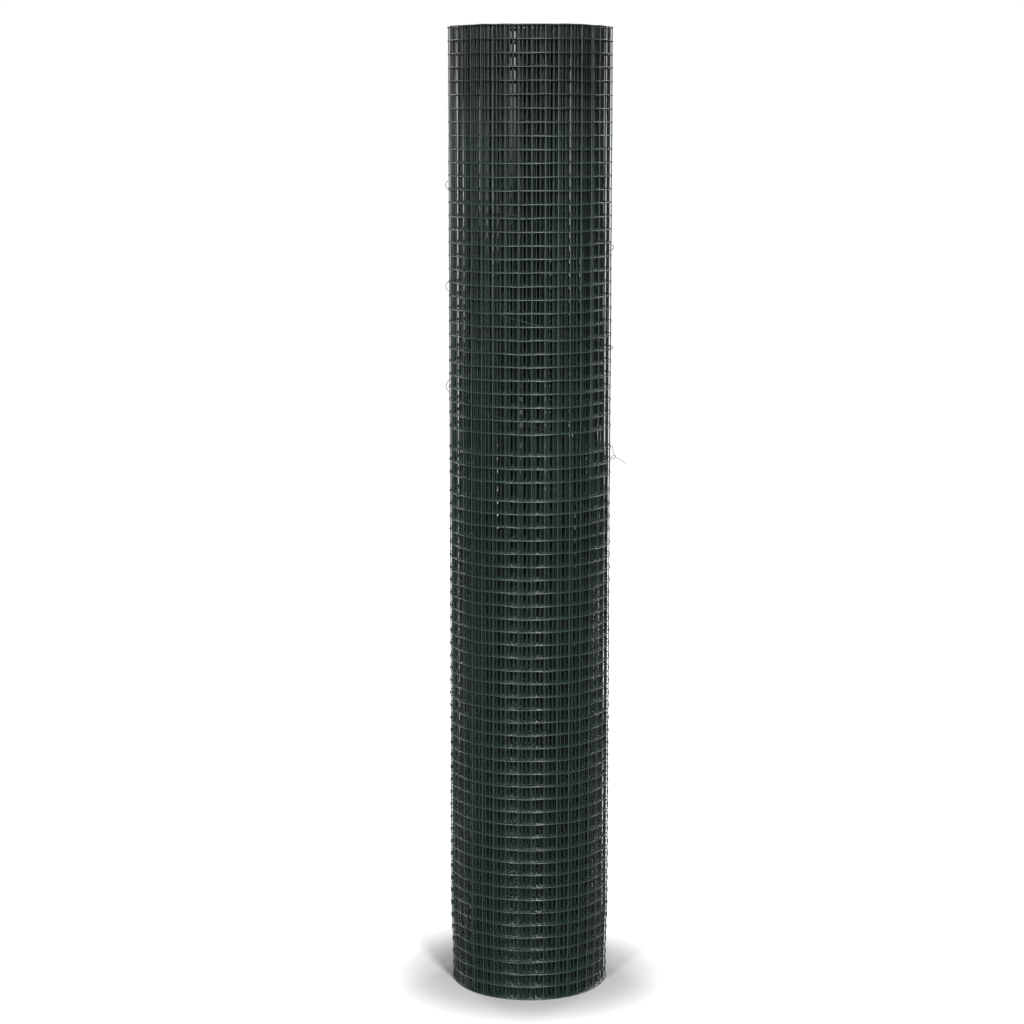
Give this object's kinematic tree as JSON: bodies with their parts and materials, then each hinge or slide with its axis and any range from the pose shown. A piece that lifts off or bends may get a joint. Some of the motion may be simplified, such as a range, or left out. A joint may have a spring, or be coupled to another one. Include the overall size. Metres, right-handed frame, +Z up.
{
  "type": "roll of welded wire mesh fencing",
  "caption": "Upright roll of dark green plastic-coated welded wire mesh with small square openings, wound round an open core and held closed by a thin binding wire.",
  "frame": {"origin": "centre of the open core at the lower end, on the floor", "axes": "+Z up along the roll's axis, -Y towards the viewer of the picture, +X towards the binding wire's loose tail"},
  "size_m": [0.188, 0.1688, 1],
  "materials": {
    "coated_mesh": "satin dark green plastic coating on steel wire",
    "binding_wire": "thin dark coated wire, slightly shiny"
  },
  "bodies": {
    "root": {"mesh_roll": "coated_mesh", "binding_wire": "binding_wire"}
  },
  "joints": []
}
